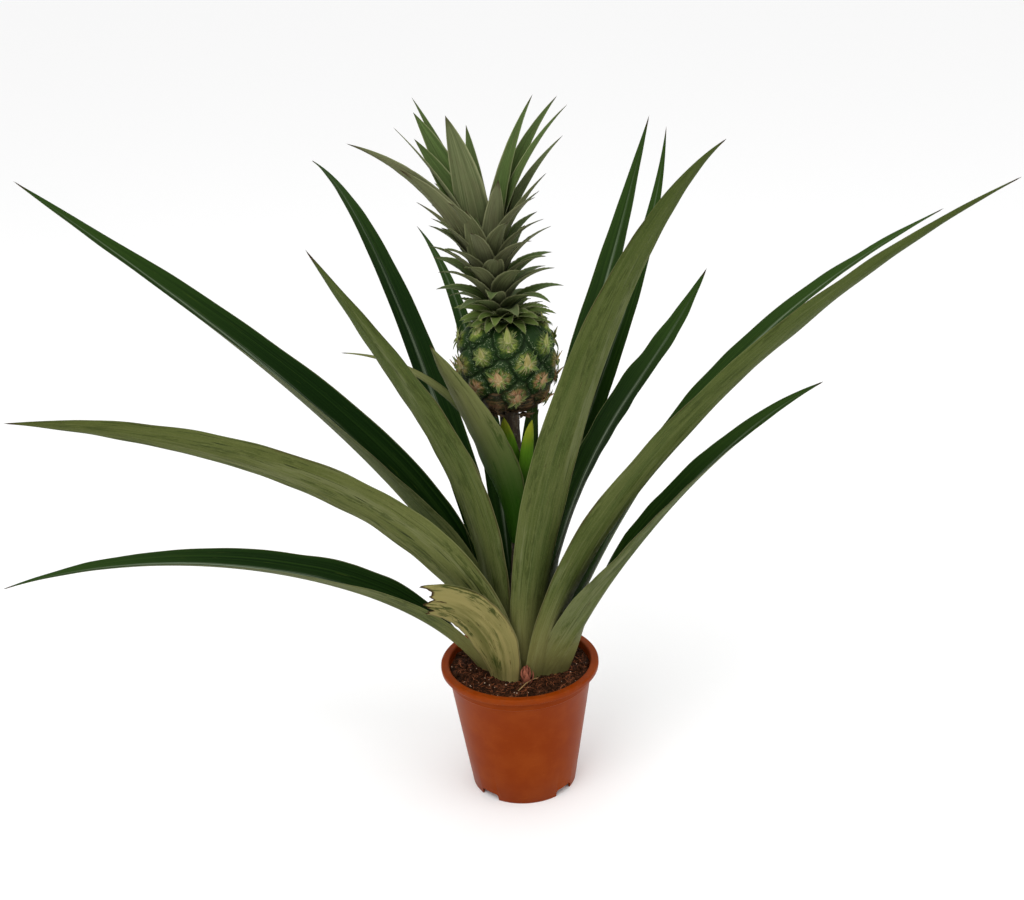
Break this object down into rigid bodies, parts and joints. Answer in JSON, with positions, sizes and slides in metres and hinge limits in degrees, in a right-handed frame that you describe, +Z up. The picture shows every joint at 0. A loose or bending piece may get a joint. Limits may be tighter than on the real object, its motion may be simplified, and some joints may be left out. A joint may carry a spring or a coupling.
{
  "type": "potted pineapple plant",
  "caption": "Young fruiting pineapple plant: long arching sword-shaped leaves round a stalk that bears a small green fruit with a tall leafy crown, in a round tapered plastic pot of soil.",
  "frame": {"origin": "centre of the pot's underside, on the ground and on the pot's axis", "axes": "+Z up along the pot's axis, -Y to the front, +X to the right as seen from the front"},
  "size_m": [0.704, 0.49, 0.528],
  "materials": {
    "pot_plastic": "satin",
    "potting_mix": "matte",
    "stem": "matte",
    "peduncle": "matte",
    "fruit_skin": "satin",
    "crown_core": "matte",
    "leaf": "satin",
    "dry_leaf": "matte",
    "bract": "satin",
    "crown_leaf": "satin"
  },
  "bodies": {
    "root": {"pot": "pot_plastic", "soil": "potting_mix", "stem": "stem", "peduncle": "peduncle", "fruit": "fruit_skin", "crown_core": "crown_core", "leaf_far_left": "leaf", "leaf_left": "leaf", "leaf_low_left": "leaf", "leaf_front_left": "leaf", "leaf_back_left": "leaf", "leaf_back_narrow": "leaf", "leaf_front": "leaf", "leaf_back_right": "leaf", "leaf_back_slim": "leaf", "leaf_right_short": "leaf", "leaf_right": "leaf", "leaf_right_back": "leaf", "leaf_low_right": "leaf", "leaf_inner": "leaf", "leaf_stub": "dry_leaf", "bract_large": "bract", "bract_thin": "bract", "bract_yellow": "bract", "bract_small": "bract", "bract_back": "bract", "crown_leaf_01": "crown_leaf", "crown_leaf_02": "crown_leaf", "crown_leaf_03": "crown_leaf", "crown_leaf_04": "crown_leaf", "crown_leaf_05": "crown_leaf", "crown_leaf_06": "crown_leaf", "crown_leaf_07": "crown_leaf", "crown_leaf_08": "crown_leaf", "crown_leaf_09": "crown_leaf", "crown_leaf_10": "crown_leaf", "crown_leaf_11": "crown_leaf", "crown_leaf_12": "crown_leaf", "crown_leaf_13": "crown_leaf", "crown_leaf_14": "crown_leaf", "crown_leaf_15": "crown_leaf", "crown_leaf_16": "crown_leaf", "crown_leaf_17": "crown_leaf", "crown_leaf_18": "crown_leaf", "crown_leaf_19": "crown_leaf", "crown_leaf_20": "crown_leaf", "crown_leaf_21": "crown_leaf", "crown_leaf_22": "crown_leaf", "crown_leaf_23": "crown_leaf", "crown_leaf_24": "crown_leaf", "crown_leaf_25": "crown_leaf", "crown_leaf_26": "crown_leaf", "crown_leaf_27": "crown_leaf", "crown_leaf_28": "crown_leaf", "crown_leaf_29": "crown_leaf", "crown_leaf_30": "crown_leaf", "crown_leaf_31": "crown_leaf", "crown_leaf_32": "crown_leaf", "crown_leaf_33": "crown_leaf"}
  },
  "joints": []
}
